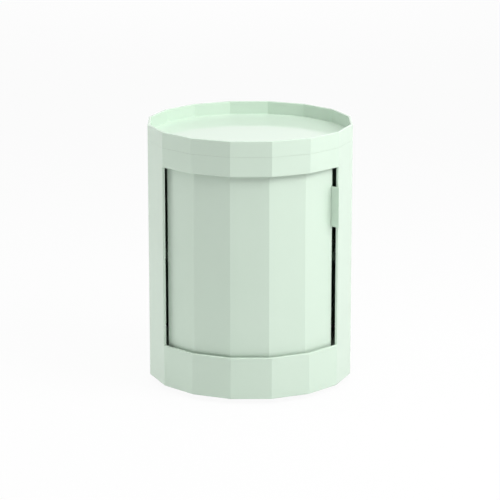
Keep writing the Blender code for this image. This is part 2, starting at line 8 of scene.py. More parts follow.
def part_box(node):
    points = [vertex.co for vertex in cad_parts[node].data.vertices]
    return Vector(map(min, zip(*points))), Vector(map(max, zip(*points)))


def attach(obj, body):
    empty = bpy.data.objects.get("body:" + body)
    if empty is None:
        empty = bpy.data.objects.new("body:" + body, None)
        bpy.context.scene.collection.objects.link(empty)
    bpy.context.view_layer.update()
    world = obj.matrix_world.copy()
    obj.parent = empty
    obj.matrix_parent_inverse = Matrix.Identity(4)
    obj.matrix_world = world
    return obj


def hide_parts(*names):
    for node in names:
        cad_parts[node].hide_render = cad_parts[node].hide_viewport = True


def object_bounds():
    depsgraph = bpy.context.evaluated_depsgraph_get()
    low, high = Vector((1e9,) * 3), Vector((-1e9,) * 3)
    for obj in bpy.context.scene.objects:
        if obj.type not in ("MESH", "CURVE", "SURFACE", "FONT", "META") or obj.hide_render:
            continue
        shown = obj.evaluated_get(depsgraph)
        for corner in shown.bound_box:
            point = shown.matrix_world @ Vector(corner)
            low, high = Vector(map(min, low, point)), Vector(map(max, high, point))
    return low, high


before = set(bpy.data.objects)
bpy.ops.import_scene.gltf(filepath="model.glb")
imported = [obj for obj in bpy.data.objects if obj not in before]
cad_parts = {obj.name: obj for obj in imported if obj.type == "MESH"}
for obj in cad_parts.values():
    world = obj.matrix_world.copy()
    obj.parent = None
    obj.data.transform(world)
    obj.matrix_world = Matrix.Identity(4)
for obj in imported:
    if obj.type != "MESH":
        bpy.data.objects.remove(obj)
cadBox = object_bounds()
print("frame loaded:", len(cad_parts), "nodes")

scene = bpy.context.scene
scene.view_settings.view_transform = "Standard"


# the photograph's view, without roll or shift
view = {
    "distance": 4.564,  # from the cabinet's axis, along the floor
    "height": 1.447,
    "pitch": 14.62,  # degrees down
    "turn": 0.59,  # degrees to the left of the front
    "focal": 170.6,  # mm
    "sensor": 36,  # mm
}


def addCamera():
    data = bpy.data.cameras.new("viewCamera")
    data.sensor_width = view["sensor"]
    data.lens = view["focal"]
    cam = bpy.data.objects.new("viewCamera", data)
    turn = radians(view["turn"])
    cam.location = (-view["distance"] * sin(turn), -view["distance"] * cos(turn), view["height"])
    cam.rotation_euler = (pi / 2 - radians(view["pitch"]), 0, -turn)
    scene.collection.objects.link(cam)
    scene.camera = cam


addCamera()
print("camera placed")


# node helpers
def addNode(tree, kind, sockets=None, **settings):
    made = tree.nodes.new(kind)
    for key, value in settings.items():
        setattr(made, key, value)
    for key, value in (sockets or {}).items():
        if isinstance(value, bpy.types.NodeSocket):
            tree.links.new(value, made.inputs[key])
        else:
            made.inputs[key].default_value = value
    return made


def newGroup(name, inputs, outputs):
    tree = bpy.data.node_groups.new(name, "ShaderNodeTree")
    for label, kind in inputs.items():
        tree.interface.new_socket(label, in_out="INPUT", socket_type="NodeSocket" + kind)
    for label, kind in outputs.items():
        tree.interface.new_socket(label, in_out="OUTPUT", socket_type="NodeSocket" + kind)
    given = tree.nodes.new("NodeGroupInput").outputs
    wanted = tree.nodes.new("NodeGroupOutput").inputs
    return tree, given, wanted


def calc(tree, operation, a, b):
    return addNode(tree, "ShaderNodeMath", {0: a, 1: b}, operation=operation).outputs[0]


def ramp(tree, value, low, high, toLow=0.0, toHigh=1.0, smooth=False):
    sockets = {"Value": value, "From Min": low, "From Max": high, "To Min": toLow, "To Max": toHigh}
    kind = "SMOOTHSTEP" if smooth else "LINEAR"
    return addNode(tree, "ShaderNodeMapRange", sockets, interpolation_type=kind).outputs["Result"]


def mixColour(tree, share, a, b):
    return addNode(tree, "ShaderNodeMix", {0: share, 6: a, 7: b}, data_type="RGBA").outputs[2]


def noise(tree, place, scale, detail=2.0, rough=0.5):
    sockets = {"Vector": place, "Scale": scale, "Detail": detail, "Roughness": rough}
    return addNode(tree, "ShaderNodeTexNoise", sockets).outputs["Fac"]


# skin of a coat or a moulding: its fine grain, and slow clouds in its tone
skinCloud = {"detail": 3.0, "levels": (0.3, 0.7)}


def makeSkinGroup():
    inputs = {"Place": "Vector", "Grain": "Float", "Clouds": "Float"}
    tree, given, wanted = newGroup("surfaceSkin", inputs, {"Height": "Float", "Cloud": "Float"})
    tree.links.new(noise(tree, given["Place"], given["Grain"]), wanted["Height"])
    cloud = noise(tree, given["Place"], given["Clouds"], skinCloud["detail"])
    tree.links.new(ramp(tree, cloud, *skinCloud["levels"]), wanted["Cloud"])
    return tree


# dust that has settled on what faces up
dustFall = {
    "facing": (0.6, 0.95),  # how far up a surface looks, from no dust to all of it
    "scale": 14.0,  # patches to the metre
    "detail": 6.0,
    "rough": 0.65,
    "levels": (0.42, 0.75),
}


def makeDustGroup():
    inputs = {"Place": "Vector", "Facing": "Vector"}
    tree, given, wanted = newGroup("settledDust", inputs, {"Mask": "Float"})
    up = addNode(tree, "ShaderNodeSeparateXYZ", {0: given["Facing"]}).outputs["Z"]
    facing = ramp(tree, up, *dustFall["facing"], smooth=True)
    drift = noise(tree, given["Place"], dustFall["scale"], dustFall["detail"], dustFall["rough"])
    patches = ramp(tree, drift, *dustFall["levels"], smooth=True)
    tree.links.new(calc(tree, "MULTIPLY", facing, patches), wanted["Mask"])
    return tree


# hairlines from wiping and handling, two ways across
wiping = {
    "ways": (((260.0, 260.0, 9.0), 0.4), ((14.0, 14.0, 330.0), -0.3)),  # stretch and tilt of each
    "detail": 1.0,
    "levels": (0.66, 0.78),
}


def makeHairlineGroup():
    tree, given, wanted = newGroup("hairlines", {"Place": "Vector"}, {"Mask": "Float"})
    ways = []
    for stretch, tilt in wiping["ways"]:
        sockets = {"Vector": given["Place"], "Rotation": (tilt, tilt / 2, 0.0), "Scale": stretch}
        stretched = addNode(tree, "ShaderNodeMapping", sockets).outputs[0]
        lines = noise(tree, stretched, 1.0, wiping["detail"])
        ways.append(ramp(tree, lines, *wiping["levels"], smooth=True))
    tree.links.new(calc(tree, "MAXIMUM", ways[0], ways[1]), wanted["Mask"])
    return tree


# crystal flecks and drifting tone of a plated surface
plateTone = {
    "fleckShare": 0.35,
    "driftShare": 0.65,
    "driftScale": 35.0,
    "driftDetail": 4.0,
    "driftRough": 0.6,
    "grain": 900.0,
}


def makePlatingGroup():
    inputs = {"Place": "Vector", "Flecks": "Float"}
    tree, given, wanted = newGroup("plating", inputs, {"Tone": "Float", "Height": "Float"})
    cells = addNode(tree, "ShaderNodeTexVoronoi", {"Vector": given["Place"], "Scale": given["Flecks"]})
    fleck = addNode(tree, "ShaderNodeSeparateColor", {0: cells.outputs["Color"]}).outputs[0]
    look = plateTone
    drift = noise(tree, given["Place"], look["driftScale"], look["driftDetail"], look["driftRough"])
    flecks = calc(tree, "MULTIPLY", fleck, look["fleckShare"])
    drift = calc(tree, "MULTIPLY", drift, look["driftShare"])
    tree.links.new(calc(tree, "ADD", flecks, drift), wanted["Tone"])
    tree.links.new(noise(tree, given["Place"], look["grain"]), wanted["Height"])
    return tree


surfaceSkin = makeSkinGroup()
settledDust = makeDustGroup()
hairlines = makeHairlineGroup()
plating = makePlatingGroup()


def newFinish(name, **sockets):
    material = bpy.data.materials.new(name)
    material.use_nodes = True
    tree = material.node_tree
    shader = tree.nodes["Principled BSDF"].inputs
    for key, value in sockets.items():
        shader[key.replace("_", " ")].default_value = value
    place = addNode(tree, "ShaderNodeTexCoord").outputs["Object"]
    return material, tree, shader, place


def placeGroup(tree, group, **sockets):
    return addNode(tree, "ShaderNodeGroup", sockets, node_tree=group).outputs


def bump(tree, height, strength, distance):
    sockets = {"Height": height, "Strength": strength, "Distance": distance}
    return addNode(tree, "ShaderNodeBump", sockets).outputs[0]


# semi-gloss powder coat on sheet steel
mintCoat = {
    "colour": (0.660, 0.800, 0.677, 1.0),
    "clouded": (0.672, 0.806, 0.688, 1.0),
    "dust": (0.74, 0.75, 0.70, 1.0),
    "ior": 1.5,
    "gloss": (0.05, 0.08),  # roughness, from cloud to cloud
    "clouds": 5.0,
    "grain": 420.0,  # swells of the coat to the metre
    "swell": (0.06, 0.0003),  # bump's strength and depth
    "dustShare": 0.05,
    "dustDull": 0.04,  # roughness that dust adds
    "lineDull": 0.04,  # and hairlines
}


def makeMint():
    material, tree, shader, place = newFinish("mintCoat", IOR=mintCoat["ior"])
    facing = addNode(tree, "ShaderNodeNewGeometry").outputs["Normal"]
    sizes = {"Grain": mintCoat["grain"], "Clouds": mintCoat["clouds"]}
    skin = placeGroup(tree, surfaceSkin, Place=place, **sizes)
    dust = placeGroup(tree, settledDust, Place=place, Facing=facing)["Mask"]
    lines = placeGroup(tree, hairlines, Place=place)["Mask"]
    coat = mixColour(tree, skin["Cloud"], mintCoat["colour"], mintCoat["clouded"])
    dusty = calc(tree, "MULTIPLY", dust, mintCoat["dustShare"])
    tree.links.new(mixColour(tree, dusty, coat, mintCoat["dust"]), shader["Base Color"])
    gloss = ramp(tree, skin["Cloud"], 0.0, 1.0, *mintCoat["gloss"])
    gloss = calc(tree, "ADD", gloss, calc(tree, "MULTIPLY", lines, mintCoat["lineDull"]))
    gloss = calc(tree, "ADD", gloss, calc(tree, "MULTIPLY", dust, mintCoat["dustDull"]))
    tree.links.new(gloss, shader["Roughness"])
    tree.links.new(bump(tree, skin["Height"], *mintCoat["swell"]), shader["Normal"])
    return material


# bright zinc plate on pressed and turned steel
zincPlate = {
    "pale": (0.66, 0.67, 0.68, 1.0),
    "deep": (0.48, 0.49, 0.51, 1.0),
    "tones": (0.2, 0.8),
    "gloss": (0.40, 0.26),  # roughness at those tones
    "flecks": 240.0,  # to the metre
    "swell": (0.08, 0.0002),  # bump's strength and depth
    "lineDull": 0.12,  # roughness that hairlines add
}


def makeZinc():
    material, tree, shader, place = newFinish("zincPlate", Metallic=1.0)
    plate = placeGroup(tree, plating, Place=place, Flecks=zincPlate["flecks"])
    lines = placeGroup(tree, hairlines, Place=place)["Mask"]
    colour = mixColour(tree, plate["Tone"], zincPlate["deep"], zincPlate["pale"])
    tree.links.new(colour, shader["Base Color"])
    gloss = ramp(tree, plate["Tone"], *zincPlate["tones"], *zincPlate["gloss"])
    gloss = calc(tree, "ADD", gloss, calc(tree, "MULTIPLY", lines, zincPlate["lineDull"]))
    tree.links.new(gloss, shader["Roughness"])
    tree.links.new(bump(tree, plate["Height"], *zincPlate["swell"]), shader["Normal"])
    return material


# moulded plastics and rubbers, all by one recipe
moulded = {
    "whiteNylon": {
        "pale": (0.80, 0.80, 0.77, 1.0),
        "deep": (0.73, 0.73, 0.69, 1.0),
        "gloss": (0.38, 0.52),
        "grain": 700.0,
    },
    "greyPlastic": {
        "pale": (0.26, 0.27, 0.28, 1.0),
        "deep": (0.21, 0.22, 0.23, 1.0),
        "gloss": (0.42, 0.56),
        "grain": 900.0,
    },
    "treadRubber": {
        "pale": (0.075, 0.075, 0.078, 1.0),
        "deep": (0.045, 0.045, 0.047, 1.0),
        "gloss": (0.62, 0.82),
        "grain": 1100.0,
    },
    "stopRubber": {
        "pale": (0.045, 0.045, 0.045, 1.0),
        "deep": (0.028, 0.028, 0.028, 1.0),
        "gloss": (0.66, 0.84),
        "grain": 1000.0,
    },
}
mouldSkin = {"ior": 1.48, "clouds": 30.0, "swell": (0.2, 0.0002), "dustShare": 0.12}


def makeMoulded(name):
    look = moulded[name]
    material, tree, shader, place = newFinish(name, IOR=mouldSkin["ior"])
    facing = addNode(tree, "ShaderNodeNewGeometry").outputs["Normal"]
    skin = placeGroup(tree, surfaceSkin, Place=place, Grain=look["grain"], Clouds=mouldSkin["clouds"])
    dust = placeGroup(tree, settledDust, Place=place, Facing=facing)["Mask"]
    body = mixColour(tree, skin["Cloud"], look["deep"], look["pale"])
    dusty = calc(tree, "MULTIPLY", dust, mouldSkin["dustShare"])
    tree.links.new(mixColour(tree, dusty, body, mintCoat["dust"]), shader["Base Color"])
    tree.links.new(ramp(tree, skin["Cloud"], 0.0, 1.0, *look["gloss"]), shader["Roughness"])
    tree.links.new(bump(tree, skin["Height"], *mouldSkin["swell"]), shader["Normal"])
    return material


finishes = {"mint": makeMint(), "zinc": makeZinc()}
finishes.update({name: makeMoulded(name) for name in moulded})
print("finishes made:", len(finishes))


# the drum: what the faceted sheet pieces share
drum = {
    "sides": 16,
    "sheet": 0.0015,
    "bend": 0.003,  # radius of the upright bends
    "bendSteps": 4,
    "cutEdge": 0.0003,  # rounding of cut sheet edges
    "edgeSteps": 2,
    "edgeAngle": 50,  # degrees from which an edge counts as cut
    "gap": 0.0003,  # between pieces that touch
}
near = 1e-6  # for comparing places
halfStep = pi / drum["sides"]
shellLow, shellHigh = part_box("outer_shell")
drumFlat = shellHigh.x  # axis to a facet's middle
gap = drum["gap"]


def addPiece(name, bm, body, finish, replaced, facing=None, crease=None):
    bmesh.ops.recalc_face_normals(bm, faces=bm.faces)
    if facing is not None:
        # an open sheet's outer side: the face that lies farthest that way looks that way
        outer = max(bm.faces, key=lambda face: face.calc_center_median().dot(facing))
        if outer.normal.dot(facing) < 0:
            bmesh.ops.reverse_faces(bm, faces=bm.faces)
    mesh = bpy.data.meshes.new(name)
    bm.to_mesh(mesh)
    bm.free()
    mesh.materials.append(finishes[finish])
    mesh.shade_smooth()
    if crease:
        mesh.set_sharp_from_angle(angle=radians(crease))
    piece = bpy.data.objects.new(name, mesh)
    scene.collection.objects.link(piece)
    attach(piece, body)
    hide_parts(*replaced)
    return piece


def evenOut(piece):
    even = piece.modifiers.new("even", "WEIGHTED_NORMAL")
    even.keep_sharp = True


def thicken(piece, sheet=drum["sheet"], edge=drum["cutEdge"]):
    wall = piece.modifiers.new("sheet", "SOLIDIFY")
    wall.thickness = sheet
    wall.offset = -1
    wall.use_even_offset = True
    soft = piece.modifiers.new("edge", "BEVEL")
    soft.width = edge
    soft.segments = drum["edgeSteps"]
    soft.limit_method = "ANGLE"
    soft.angle_limit = radians(drum["edgeAngle"])
    evenOut(piece)


def grow(bm, edges):
    made = bmesh.ops.extrude_edge_only(bm, edges=edges)["geom"]
    verts = [item for item in made if isinstance(item, bmesh.types.BMVert)]
    fresh = set(verts)
    grown = [item for item in made if isinstance(item, bmesh.types.BMEdge) and set(item.verts) <= fresh]
    return verts, grown


def edgesAt(verts):
    # each edge once, in a fixed order
    return list(dict.fromkeys(edge for vert in verts for edge in vert.link_edges))


def arc(centre, radius, first, last, steps=5):
    turns = [radians(first + (last - first) * k / steps) for k in range(steps + 1)]
    return [(centre[0] + radius * cos(a), centre[1] + radius * sin(a)) for a in turns]


def facetOut(index):
    # facets are counted from the front, to the right
    return Vector((sin(2 * halfStep * index), -cos(2 * halfStep * index), 0))


def facetAlong(index):
    return Vector((cos(2 * halfStep * index), sin(2 * halfStep * index), 0))


def facetPlace(index, flat, along, z):
    return facetOut(index) * flat + facetAlong(index) * along + Vector((0, 0, z))


def bearing(co):
    return atan2(co.x, -co.y)


def facetRing(bm, flat, z):
    # an outline with the drum's facets and rounded bends, filled by one face
    place = Matrix.Translation((0, 0, z)) @ Matrix.Rotation(halfStep, 4, "Z")
    made = bmesh.ops.create_circle(
        bm, cap_ends=True, segments=drum["sides"], radius=flat / cos(halfStep), matrix=place
    )
    bmesh.ops.bevel(
        bm, geom=made["verts"], offset=drum["bend"] * tan(halfStep), segments=drum["bendSteps"],
        profile=0.5, affect="VERTICES", material=-1,
    )
    return list(bm.edges), bm.faces[:][0]


def sweep(bm, edges, flat, profile):
    # carries an outline through points of (flat, height)
    height = edges[0].verts[0].co.z
    for nextFlat, z in profile:
        verts, edges = grow(bm, edges)
        bmesh.ops.scale(bm, vec=(nextFlat / flat, nextFlat / flat, 1), verts=verts)
        bmesh.ops.translate(bm, vec=(0, 0, z - height), verts=verts)
        flat, height = nextFlat, z


def punch(bm, face, centres, radius, steps=32):
    # round holes through a flat face
    face.normal_update()
    normal = face.normal.copy()
    tilt = normal.to_track_quat("Z", "Y").to_matrix().to_4x4()
    edges = list(face.edges)
    bmesh.ops.delete(bm, geom=[face], context="FACES_ONLY")
    for centre in centres:
        place = Matrix.Translation(centre) @ tilt
        made = bmesh.ops.create_circle(bm, segments=steps, radius=radius, matrix=place)
        edges += edgesAt(made["verts"])
    bmesh.ops.triangle_fill(bm, use_beauty=True, edges=edges, normal=normal)


def cutAcross(bm, faces, point, normal, clear=False):
    geom = list(faces)
    for face in faces:
        geom += [*face.edges, *face.verts]
    bmesh.ops.bisect_plane(
        bm, geom=list(dict.fromkeys(geom)), plane_co=point, plane_no=normal, dist=near, clear_outer=clear
    )


def foldIn(bm, edges, flat, radius, depth, endFacet, sign):
    # folds an edge in towards the axis, round the bend and straight on, with mitred corners;
    # sign is 1 round a panel and -1 round a hole
    ends = [(facetOut(s * endFacet), facetAlong(s * endFacet) * s) for s in (-1, 1)]
    wentOut, wentIn = 0, 0
    for out, inn in [(y, radius - x) for x, y in arc((0, 0), radius, 0, 90)[1:]] + [(radius, depth)]:
        verts, edges = grow(bm, edges)
        low = min(vert.co.z for vert in verts) + near
        high = max(vert.co.z for vert in verts) - near
        reach = [max(vert.co.dot(way) for vert in verts) - near for _, way in ends]
        moves = []
        for vert in verts:
            move = Vector((0, 0, (vert.co.z > high) - (vert.co.z < low)))
            inward = Vector((vert.co.x, vert.co.y, 0)) * (wentIn - inn) / (flat - wentIn)
            for (facing, way), far in zip(ends, reach):
                if vert.co.dot(way) > far:
                    move += way
                    inward = facing * (wentIn - inn)
            moves.append(move * sign * (out - wentOut) + inward)
        for vert, move in zip(verts, moves):
            vert.co += move
        wentOut, wentIn = out, inn


# outer shell, folded from one sheet: skirt, opening and the flange that the tray stands on
shell = {
    "opening": 0.007,  # opening's edges inside the door's, above and below
    "openFacet": 3,  # first facet past the opening
    "sideTrim": 0.0008,  # opening's sides past the drum's corners
    "fold": 0.002,  # radius of the fold round the opening
    "foldDepth": 0.0049,
    "skirtFold": 0.0022,
    "skirtDepth": 0.0115,
    "topDepth": 0.0200,
    "screwHole": 0.0028,  # radius
}
doorLow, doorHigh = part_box("door_panel")
screwNodes = [f"tray_screw_{k}" for k in range(1, 5)]


def middle(node):
    low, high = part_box(node)
    return (low + high) / 2


def makeShell():
    low, high = shellLow.z, shellHigh.z
    fold, skirtFold = shell["fold"], shell["skirtFold"]
    inner = drumFlat - shell["skirtDepth"]
    bm = bmesh.new()
    edges, face = facetRing(bm, inner, low)
    bmesh.ops.delete(bm, geom=[face], context="FACES_ONLY")
    profile = arc((drumFlat - skirtFold, low + skirtFold), skirtFold, -90, 0)
    sweep(bm, edges, inner, profile + [(drumFlat, high), (drumFlat - shell["topDepth"], high)])
    for node in screwNodes:
        place = middle(node)
        place.z = high
        flange = [f for f in bm.faces if f.calc_center_median().z > high - near]
        nearest = min(flange, key=lambda f: (f.calc_center_median() - place).length)
        punch(bm, nearest, [place], shell["screwHole"])

    # the hole, larger by the fold's radius all round
    bottom = doorLow.z + shell["opening"] - fold
    top = doorHigh.z - shell["opening"] + fold
    for z in (bottom, top):
        cutAcross(bm, bm.faces[:], (0, 0, z), (0, 0, 1))
    side = shell["sideTrim"] + fold - drumFlat * tan(halfStep)
    inHole = [f for f in bm.faces if bottom < f.calc_center_median().z < top]
    for index in (-shell["openFacet"], shell["openFacet"]):
        facet = [f for f in inHole if f.calc_center_median().dot(facetOut(index)) > drumFlat - near]
        edge = side if index > 0 else -side
        cutAcross(bm, facet, facetPlace(index, drumFlat, edge, 0), facetAlong(index))
    limit = bearing(facetPlace(shell["openFacet"], drumFlat, side, 0))
    inHole = [f for f in bm.faces if bottom < f.calc_center_median().z < top]
    hole = [f for f in inHole if abs(bearing(f.calc_center_median())) < limit]
    bmesh.ops.delete(bm, geom=hole, context="FACES")
    rim = [e for e in bm.edges if e.is_boundary and bottom - near < e.verts[0].co.z < top + near]
    foldIn(bm, rim, drumFlat, fold, shell["foldDepth"], shell["openFacet"], -1)
    thicken(addPiece("shellBody", bm, "cabinet", "mint", ["outer_shell"], Vector((1, 0, 0))))


makeShell()
print("shell made")


# tray top: floor, double-walled rim and outer wall from one sheet
tray = {
    "floor": 0.026,  # below the rim
    "wall": 0.005,  # rim's width
    "floorFold": 0.0006,
    "rimFold": 0.0017,
    "seam": 0.0001,  # gap above the shell
}


def makeTray():
    low, high = shellHigh.z + tray["seam"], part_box("top_tray")[1].z
    floor = high - tray["floor"]
    inner, rimFold, floorFold = drumFlat - tray["wall"], tray["rimFold"], tray["floorFold"]
    bm = bmesh.new()
    edges, _ = facetRing(bm, inner - floorFold, floor)
    profile = arc((inner - floorFold, floor + floorFold), floorFold, -90, 0)[1:]
    profile += arc((inner + rimFold, high - rimFold), rimFold, 180, 90)
    profile += arc((drumFlat - rimFold, high - rimFold), rimFold, 90, 0)
    sweep(bm, edges, inner - floorFold, profile + [(drumFlat, low)])
    thicken(addPiece("trayTop", bm, "cabinet", "mint", ["top_tray"], Vector((1, 0, 0))))


makeTray()
print("tray made")


# revolving door, folded all round, with a gap in its right-hand fold for the pull
door = {
    "run": 0.0027,  # corners inside the fold round the opening
    "endFacet": 2,
    "fold": 0.002,
    "flange": 0.013,
    "restTurn": 0.8,  # degrees to the left
}
doorCorner = drumFlat - shell["foldDepth"] - door["run"]
doorFlat = doorCorner * cos(halfStep)
doorHalf = doorCorner * sin(halfStep)  # half a facet's width
pullLow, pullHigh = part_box("door_pull")


def turnToRest(bm):
    bmesh.ops.rotate(bm, matrix=Matrix.Rotation(-radians(door["restTurn"]), 3, "Z"), verts=bm.verts)


def makeDoor():
    fold, end = door["fold"], door["endFacet"]
    bm = bmesh.new()
    edges, face = facetRing(bm, doorFlat, doorLow.z + fold)
    bmesh.ops.delete(bm, geom=[face], context="FACES_ONLY")
    sweep(bm, edges, doorFlat, [(doorFlat, doorHigh.z - fold)])
    for s in (-1, 1):
        cut = facetPlace(s * end, doorFlat, s * (doorHalf - fold), 0)
        cutAcross(bm, bm.faces[:], cut, facetAlong(s * end) * s, clear=True)
    low, high = pullLow.z - gap, pullHigh.z + gap
    for z in (low, high):
        cutAcross(bm, bm.faces[:], (0, 0, z), (0, 0, 1))
    root = facetPlace(end, doorFlat, doorHalf - pull["inset"] - pull["sheet"] - gap, 0)
    cutAcross(bm, bm.faces[:], root, facetAlong(end))
    notch = []
    for face in bm.faces:
        centre = face.calc_center_median()
        if low < centre.z < high and (centre - root).dot(facetAlong(end)) > 0:
            notch.append(face)
    bmesh.ops.delete(bm, geom=notch, context="FACES")
    rim = []
    for edge in bm.edges:
        centre = (edge.verts[0].co + edge.verts[1].co) / 2
        inNotch = low - near < centre.z < high + near and centre.x > 0
        if edge.is_boundary and not inNotch:
            rim.append(edge)
    foldIn(bm, rim, doorFlat, fold, door["flange"], end, 1)
    turnToRest(bm)
    thicken(addPiece("doorPanel", bm, "door", "mint", ["door_panel"], Vector((0, -1, 0))))


# pull: an angle plate, one leg welded behind the door's face
pull = {
    "sheet": 0.0015,
    "inset": 0.002,  # from the door's right edge
    "reach": 0.0195,  # in front of the door's face
    "foot": 0.022,
    "bend": 0.0025,
    "corner": 0.001,
    "cornerSteps": 6,
    "edge": 0.0004,
}


def makePull():
    end = door["endFacet"]
    back = doorFlat - drum["sheet"] - gap - pull["sheet"]
    tip = doorFlat + pull["reach"]
    side = doorHalf - pull["inset"]
    bend = pull["bend"]
    bm = bmesh.new()
    outline = [(tip, side)]
    outline += arc((back + bend, side - bend), bend, 90, 180)
    outline.append((back, side - pull["foot"]))
    line = [bm.verts.new(facetPlace(end, flat, along, pullLow.z)) for flat, along in outline]
    verts, _ = grow(bm, [bm.edges.new(pair) for pair in zip(line, line[1:])])
    bmesh.ops.translate(bm, vec=(0, 0, pullHigh.z - pullLow.z), verts=verts)
    corners = [v for v in bm.verts if len(v.link_edges) == 2]
    bmesh.ops.bevel(
        bm, geom=corners, offset=pull["corner"], segments=pull["cornerSteps"], profile=0.5,
        affect="VERTICES", material=-1,
    )
    turnToRest(bm)
    plate = addPiece("pullPlate", bm, "door", "mint", ["door_pull"], facetAlong(end))
    thicken(plate, pull["sheet"], pull["edge"])


makeDoor()
makePull()
print("door made")


# flat pieces across the drum: ceiling, cabinet floor, castor base and shelf
pans = {
    "ceilingPlate": {"node": "top_plate", "holes": screwNodes, "radius": shell["screwHole"]},
    "floorPan": {"node": "floor_pan", "fold": 0.0020},
    "basePan": {
        "node": "base_pan", "sheet": 0.002, "fold": 0.0026,
        "holes": [f"caster_stem_{k}" for k in range(1, 5)], "radius": 0.0043,
    },
    "shelfPan": {
        "node": "shelf", "fold": 0.0022,
        "holes": [f"shelf_post_{k}" for k in range(1, 5)], "radius": 0.0065,
    },
}


def makePan(name, look):
    low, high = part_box(look["node"])
    fold = look.get("fold", 0)
    flat = high.x - fold
    bm = bmesh.new()
    edges, face = facetRing(bm, flat, high.z)
    if "holes" in look:
        centres = [Vector((*middle(node).xy, high.z)) for node in look["holes"]]
        punch(bm, face, centres, look["radius"])
    facing = Vector((0, 0, 1))
    if fold:
        sweep(bm, edges, flat, arc((flat, high.z - fold), fold, 90, 0)[1:] + [(high.x, low.z)])
        facing = Vector((1, 0, 0))
    piece = addPiece(name, bm, "cabinet", "mint", [look["node"]], facing)
    thicken(piece, look.get("sheet", drum["sheet"]))


for name, look in pans.items():
    makePan(name, look)
print("pans and shelf made")


# round pieces, turned from an outline
lathe = {
    "steps": 48,
    "roundSteps": 4,  # of a rounded edge
    "crease": 35,  # degrees from which an edge stays sharp
}


def turned(bm, outline, steps=lathe["steps"], place=Matrix(), socket=None):
    # an outline of (radius, height, rounding) turned about Z, with a six-sided socket in its top
    known = set(bm.verts)
    ring = [bm.verts.new((radius, 0, z)) for radius, z, _ in outline]
    bm.faces.new(ring)
    for vert, (_, _, soft) in zip(ring, outline):
        if soft:
            bmesh.ops.bevel(
                bm, geom=[vert], offset=soft, segments=lathe["roundSteps"], profile=0.5,
                affect="VERTICES", material=-1,
            )
    line = [v for v in bm.verts if v not in known]
    bmesh.ops.delete(bm, geom=list(line[0].link_faces), context="FACES_ONLY")
    onAxis = [e for e in edgesAt(line) if max(v.co.x for v in e.verts) < near]
    bmesh.ops.delete(bm, geom=onAxis, context="EDGES")
    geom = line + edgesAt(line)
    bmesh.ops.spin(
        bm, geom=geom, cent=(0, 0, 0), axis=(0, 0, 1), angle=2 * pi, steps=steps, use_merge=True
    )
    bmesh.ops.remove_doubles(bm, verts=[v for v in bm.verts if v not in known], dist=near)
    if socket:
        sinkSocket(bm, [v for v in bm.verts if v not in known], *socket)
    bmesh.ops.transform(bm, matrix=place, verts=[v for v in bm.verts if v not in known])


def sinkSocket(bm, verts, radius, depth):
    top = max(v.co.z for v in verts)
    pole = min((v for v in verts if v.co.z > top - near), key=lambda v: hypot(v.co.x, v.co.y))
    rim = [e for f in pole.link_faces for e in f.edges if pole not in e.verts]
    bmesh.ops.delete(bm, geom=[pole], context="VERTS")
    made = bmesh.ops.create_circle(bm, segments=6, radius=radius, matrix=Matrix.Translation((0, 0, top)))
    hexagon = edgesAt(made["verts"])
    bmesh.ops.triangle_fill(bm, use_beauty=True, edges=rim + hexagon, normal=(0, 0, 1))
    bottom, edges = grow(bm, hexagon)
    bmesh.ops.translate(bm, vec=(0, 0, -depth), verts=bottom)
    bmesh.ops.holes_fill(bm, edges=edges)


def turnedPiece(name, node, outline, place, body, finish, steps=lathe["steps"], socket=None):
    bm = bmesh.new()
    turned(bm, outline, steps, place, socket)
    evenOut(addPiece(name, bm, body, finish, [node], crease=lathe["crease"]))


# rails that the door runs on, rolled from flat bar
rails = {"headRail": "top_rail", "footRail": "bottom_rail", "sheet": 0.002, "edge": 0.0004, "steps": 192}


def makeRail(name):
    low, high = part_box(rails[name])
    outer, edge = high.x, rails["edge"]
    inner = outer - rails["sheet"]
    outline = [(outer, high.z, edge), (outer, low.z, edge), (inner, low.z, edge), (inner, high.z, edge)]
    turnedPiece(name, rails[name], outline, Matrix(), "cabinet", "zinc", rails["steps"])


makeRail("headRail")
makeRail("footRail")


# shelf posts with their welded feet, and clamp collars under the shelf
post = {"radius": 0.006, "foot": 0.012, "footHeight": 0.002, "edge": 0.0005, "fillet": 0.0008}
collar = {
    "radius": 0.010,
    "bore": 0.0063,
    "edge": 0.0006,
    "screw": 0.002,  # grub screw's radius
    "screwSteps": 24,
    "screwFlat": 0.0014,  # flat round its socket
    "sunk": 0.0006,  # how deep it sits
    "proud": 0.0003,  # how far it stands out
    "socket": 0.0011,
    "socketDepth": 0.0006,
}


def makePost(number):
    node = f"shelf_post_{number}"
    low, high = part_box(node)
    edge, footTop = post["edge"], low.z + post["footHeight"]
    outline = [
        (0, high.z, 0),
        (post["radius"], high.z, edge),
        (post["radius"], footTop, post["fillet"]),
        (post["foot"], footTop, edge),
        (post["foot"], low.z, edge / 2),
        (0, low.z, 0),
    ]
    place = Matrix.Translation((*middle(node).xy, 0))
    turnedPiece(f"shelfPost{number}", node, outline, place, "cabinet", "zinc")


